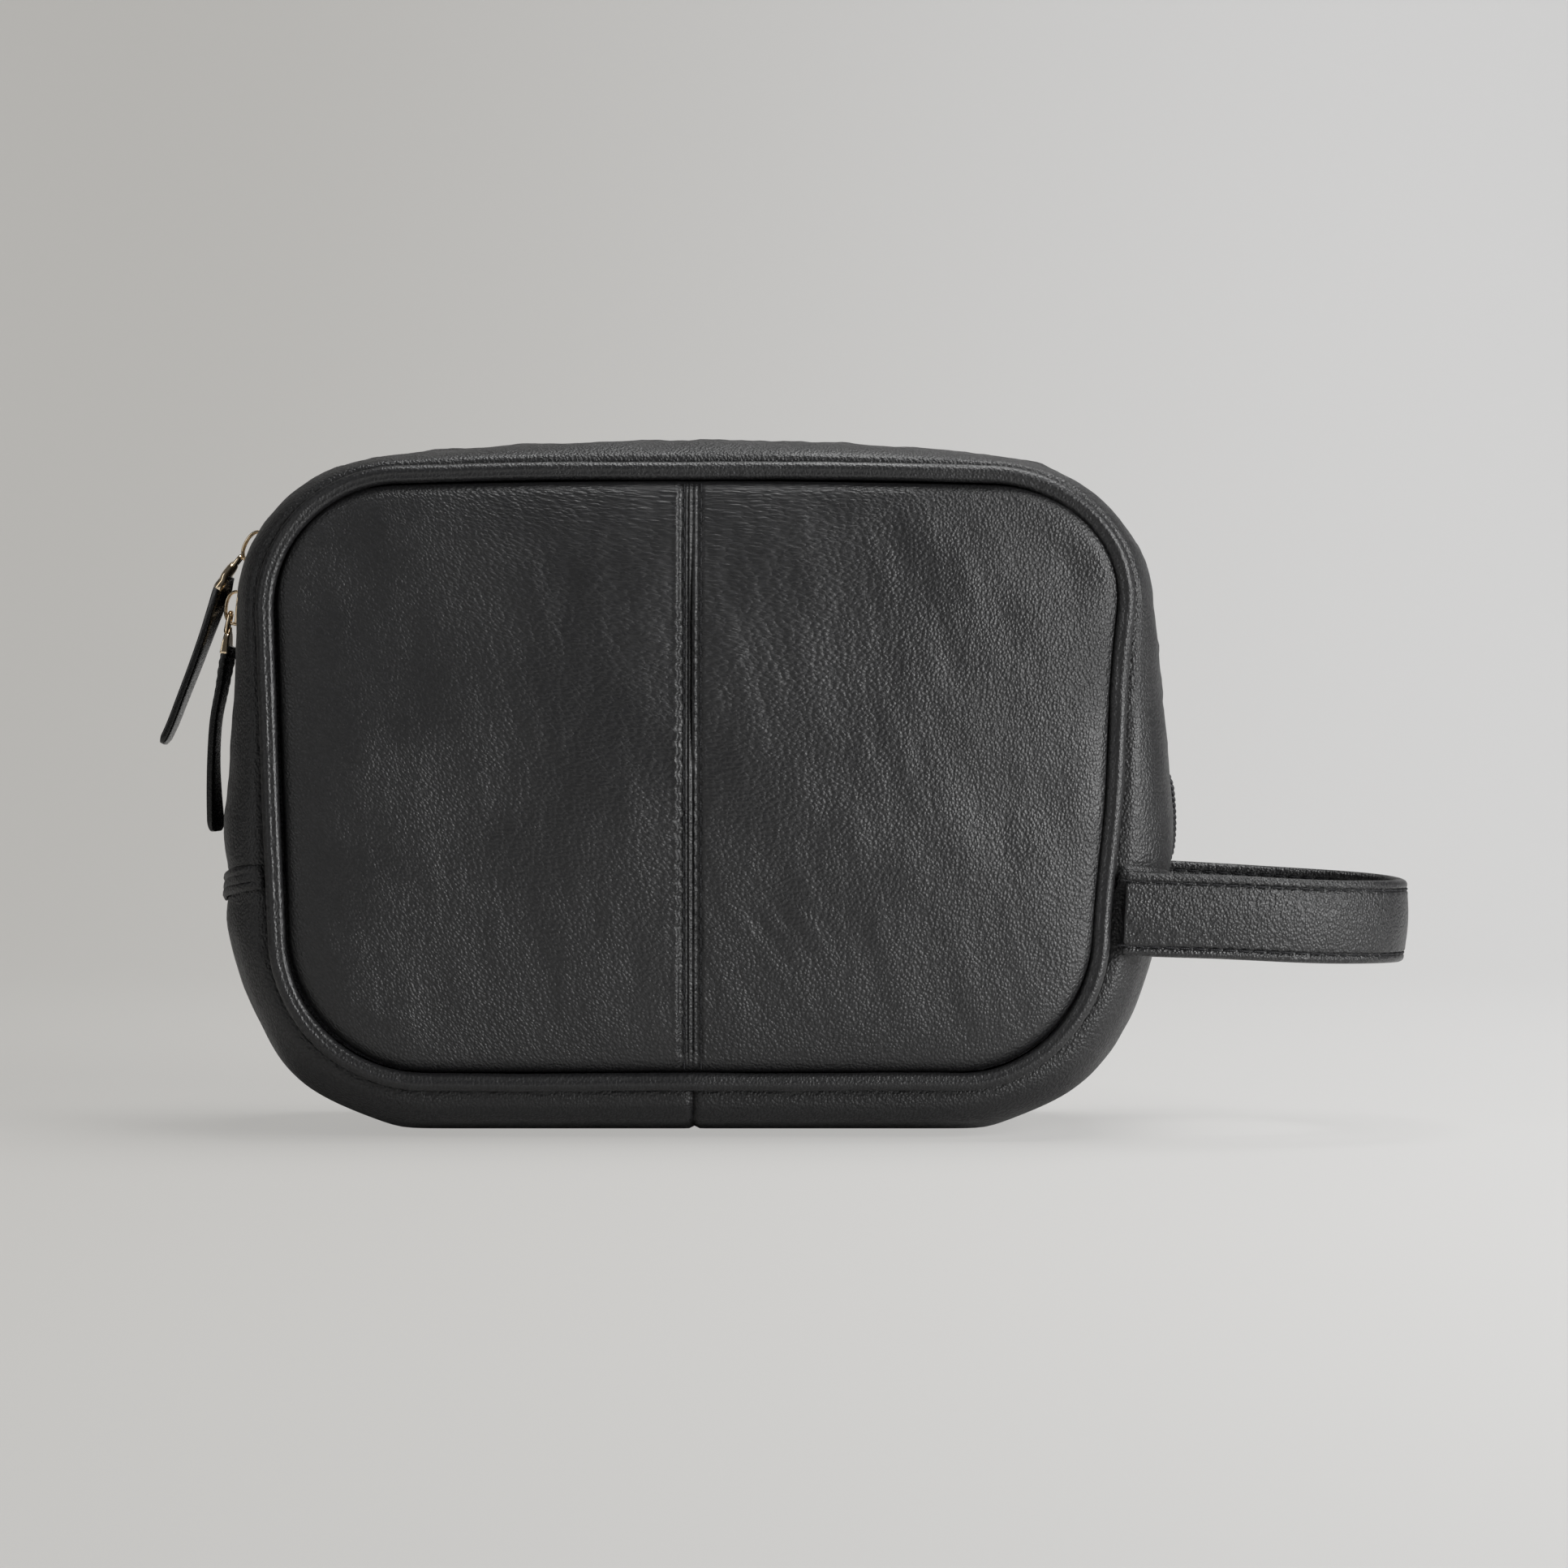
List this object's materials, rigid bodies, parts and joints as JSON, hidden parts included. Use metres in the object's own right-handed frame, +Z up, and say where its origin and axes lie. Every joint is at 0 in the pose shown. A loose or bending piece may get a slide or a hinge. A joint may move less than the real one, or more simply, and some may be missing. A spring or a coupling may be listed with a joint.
{
  "type": "makeup bag",
  "caption": "Soft black leather wash bag standing on its base, with piped padded panels, a zip round the top, leather zip pulls and a side wrist loop.",
  "frame": {"origin": "middle of the flat base, on the floor", "axes": "+X towards the wrist loop, -Y out of the front panel, +Z up"},
  "size_m": [0.3229, 0.097, 0.1742],
  "materials": {
    "black_leather": "fine grain, soft satin",
    "lining_cloth": "plain weave",
    "padding": "foam padding",
    "piping_cord": "cotton cord",
    "zip_tape": "woven tape",
    "zip_coil": "nylon coil",
    "gold_metal": "polished pale gold plate",
    "base_board": "stiffener board",
    "handle_core": "webbing stiffener"
  },
  "bodies": {
    "bag_body": {"base_gusset_left": "black_leather", "base_gusset_right": "black_leather", "back_panel_left": "black_leather", "back_panel_right": "black_leather", "front_panel_left_lower": "black_leather", "front_panel_right_lower": "black_leather", "back_interlining": "padding", "front_interlining_lower": "padding", "back_lining": "lining_cloth", "front_lining_lower": "lining_cloth", "back_piping": "black_leather", "back_piping_cord": "piping_cord", "front_piping_lower": "black_leather", "front_piping_cord_lower": "piping_cord", "back_zip_gusset": "black_leather", "back_gusset_lining": "lining_cloth", "base_lining": "lining_cloth", "base_board": "base_board", "back_zip_tape": "zip_tape", "back_zip_coil": "zip_coil", "zip_end_tab_left": "black_leather", "zip_end_tab_right": "black_leather"},
    "front_flap": {"front_panel_left_upper": "black_leather", "front_panel_right_upper": "black_leather", "front_interlining_upper": "padding", "front_lining_upper": "lining_cloth", "front_piping_upper": "black_leather", "front_piping_cord_upper": "piping_cord", "front_zip_gusset": "black_leather", "front_gusset_lining": "lining_cloth", "front_zip_tape": "zip_tape", "front_zip_coil": "zip_coil"},
    "upper_slider": {"upper_slider_body": "gold_metal"},
    "upper_link": {"upper_slider_link": "gold_metal"},
    "upper_pull": {"upper_pull_clasp": "gold_metal", "upper_pull_strap": "black_leather"},
    "lower_slider": {"lower_slider_body": "gold_metal"},
    "lower_link": {"lower_slider_link": "gold_metal"},
    "lower_pull": {"lower_pull_clasp": "gold_metal", "lower_pull_strap": "black_leather"},
    "handle": {"handle_outer_strap": "black_leather", "handle_core": "handle_core", "handle_inner_strap": "black_leather"}
  },
  "joints": [
    {"name": "mouth_fold", "type": "hinge", "parent": "bag_body", "child": "front_flap", "pos_m": [0, -0.04811, 0.068], "axis": [1, 0, 0], "range_deg": [0, 38], "deforming": ["front_zip_tape", "front_zip_coil"]},
    {"name": "upper_slider_travel", "type": "hinge", "parent": "bag_body", "child": "upper_slider", "pos_m": [-0.07618, 0, 0.13189], "axis": [0, 1, 0], "range_deg": [0, 52]},
    {"name": "upper_link_swing", "type": "hinge", "parent": "upper_slider", "child": "upper_link", "pos_m": [-0.1164, 0, 0.14638], "axis": [0, 1, 0], "range_deg": [0, 90]},
    {"name": "upper_pull_swing", "type": "hinge", "parent": "upper_link", "child": "upper_pull", "pos_m": [-0.11948, 0, 0.14244], "axis": [0, 1, 0], "range_deg": [0, 60]},
    {"name": "lower_slider_travel", "type": "slide", "parent": "bag_body", "child": "lower_slider", "axis": [-0.0925, 0, -0.9957], "range_m": [0, 0.0591]},
    {"name": "lower_link_swing", "type": "hinge", "parent": "lower_slider", "child": "lower_link", "pos_m": [-0.11906, 0, 0.13197], "axis": [0, 1, 0], "range_deg": [0, 15]},
    {"name": "lower_pull_swing", "type": "hinge", "parent": "lower_link", "child": "lower_pull", "pos_m": [-0.12027, 0, 0.12711], "axis": [0, 1, 0], "range_deg": [0, 15]},
    {"name": "handle_swing", "type": "hinge", "parent": "bag_body", "child": "handle", "pos_m": [0.11784, 0, 0.0565], "axis": [0, 1, 0], "range_deg": [-25, 15]}
  ]
}
